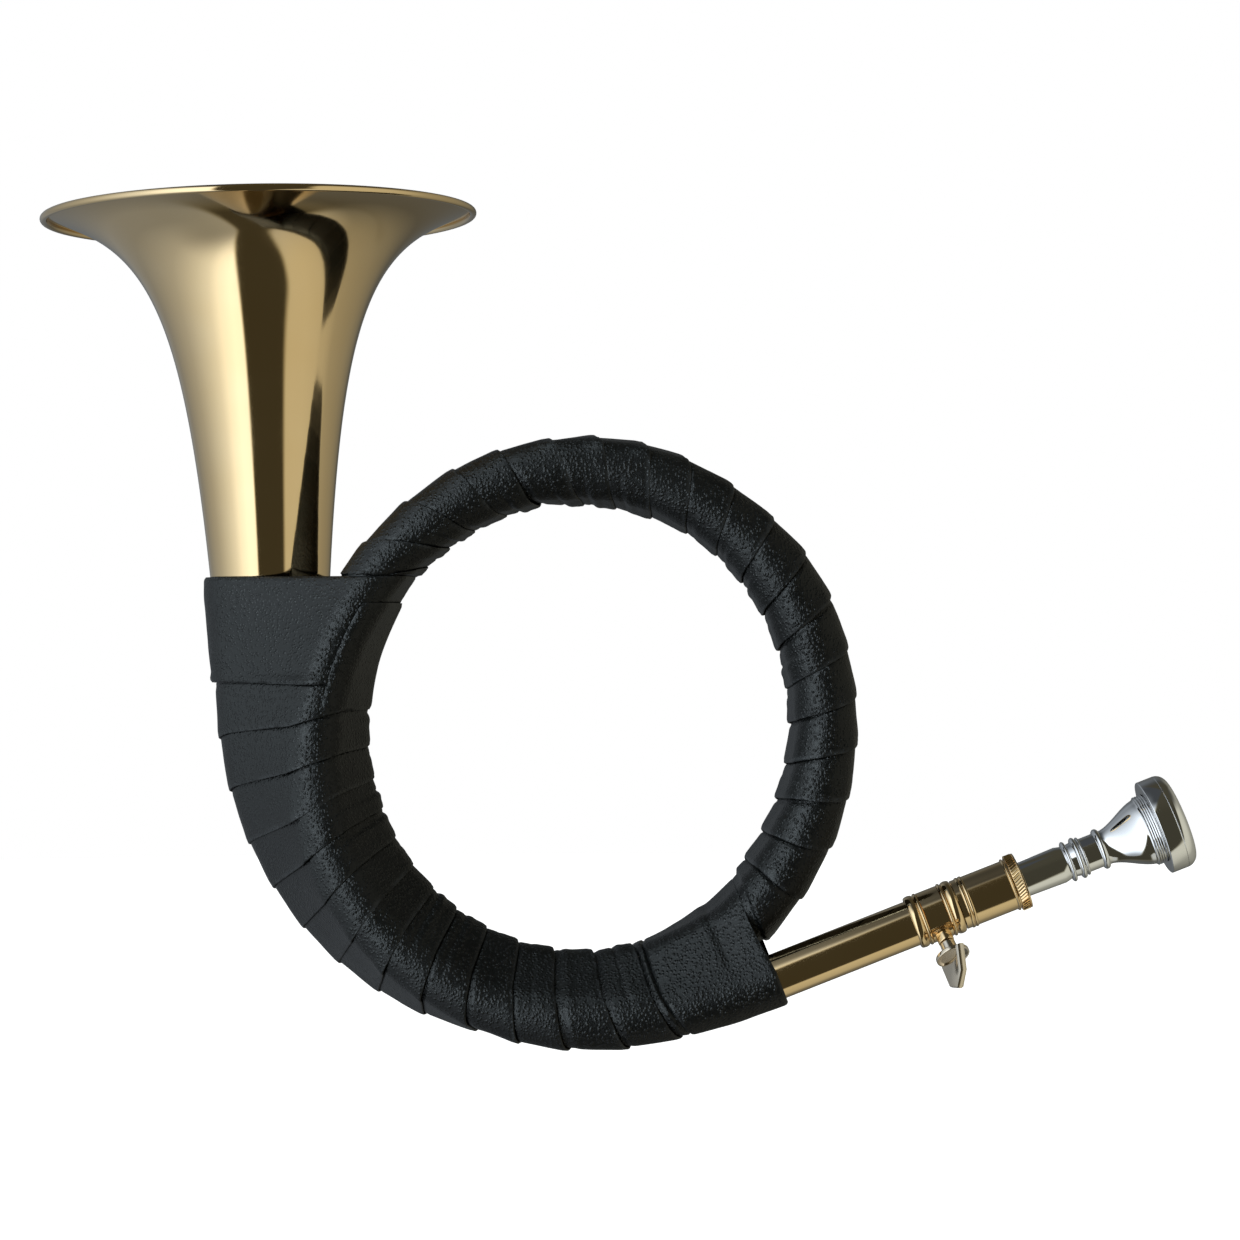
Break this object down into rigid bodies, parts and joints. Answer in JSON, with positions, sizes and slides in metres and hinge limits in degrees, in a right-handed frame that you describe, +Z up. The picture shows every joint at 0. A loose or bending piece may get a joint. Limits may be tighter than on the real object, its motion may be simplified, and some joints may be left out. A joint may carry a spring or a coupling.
{
  "type": "hunting horn",
  "caption": "Natural hunting horn: a coiled conical brass tube wound with black leather, an upright flared bell, and a clamped tuning slide that takes a separate mouthpiece.",
  "frame": {"origin": "the inner top of the leather-wound coil, where the horn hangs on a hook or over a hand", "axes": "+X towards the mouthpiece, +Y from the mouthpipe's side of the coil to its back, +Z up, the way the bell points"},
  "size_m": [0.3286, 0.1249, 0.2413],
  "materials": {
    "lacquered_brass": "clear lacquer over polished brass",
    "worn_brass": "unlacquered brass, dulled under the leather",
    "silver_plate": "bright silver plate",
    "screw_nickel": "nickel plate, worn to brass on its edges",
    "rim_steel": "plain drawn wire",
    "black_leather": "pebbled black leather with a soft sheen"
  },
  "bodies": {
    "horn": {"bell": "lacquered_brass", "rim_wire": "rim_steel", "bell_ferrule": "worn_brass", "bell_branch": "worn_brass", "coil_turn_2": "worn_brass", "coil_turn_1": "worn_brass", "branch_ferrule": "worn_brass", "turn_ferrule": "worn_brass", "leadpipe_ferrule": "worn_brass", "leadpipe": "lacquered_brass", "clamp_sleeve": "lacquered_brass", "screw_boss": "lacquered_brass", "lower_winding": "black_leather", "upper_winding": "black_leather", "bell_cuff": "black_leather", "mouthpipe_cuff": "black_leather", "cuff_flap": "black_leather"},
    "tuning_slide": {"tuning_slide_tube": "worn_brass", "mouthpiece_receiver": "lacquered_brass", "knurled_ring": "lacquered_brass"},
    "mouthpiece": {"mouthpiece": "silver_plate"},
    "mouthpiece_rim": {"mouthpiece_rim": "silver_plate"},
    "thumb_screw": {"thumb_screw": "screw_nickel"}
  },
  "joints": [
    {"name": "tuning_slide", "type": "slide", "parent": "horn", "child": "tuning_slide", "axis": [0.9303, 0, 0.3668], "range_m": [0, 0.014]},
    {"name": "mouthpiece_pull", "type": "slide", "parent": "tuning_slide", "child": "mouthpiece", "axis": [0.9303, 0, 0.3668], "range_m": [0, 0.028]},
    {"name": "rim_unscrew", "type": "hinge", "parent": "mouthpiece", "child": "mouthpiece_rim", "pos_m": [0.16118, -0.013, -0.09186], "axis": [0.9303, 0, 0.3668], "range_deg": [0, 1080]},
    {"name": "thumb_screw_turn", "type": "hinge", "parent": "horn", "child": "thumb_screw", "pos_m": [0.10179, -0.01735, -0.12171], "axis": [0.2968, -0.5878, -0.7526], "range_deg": [0, 540]}
  ]
}
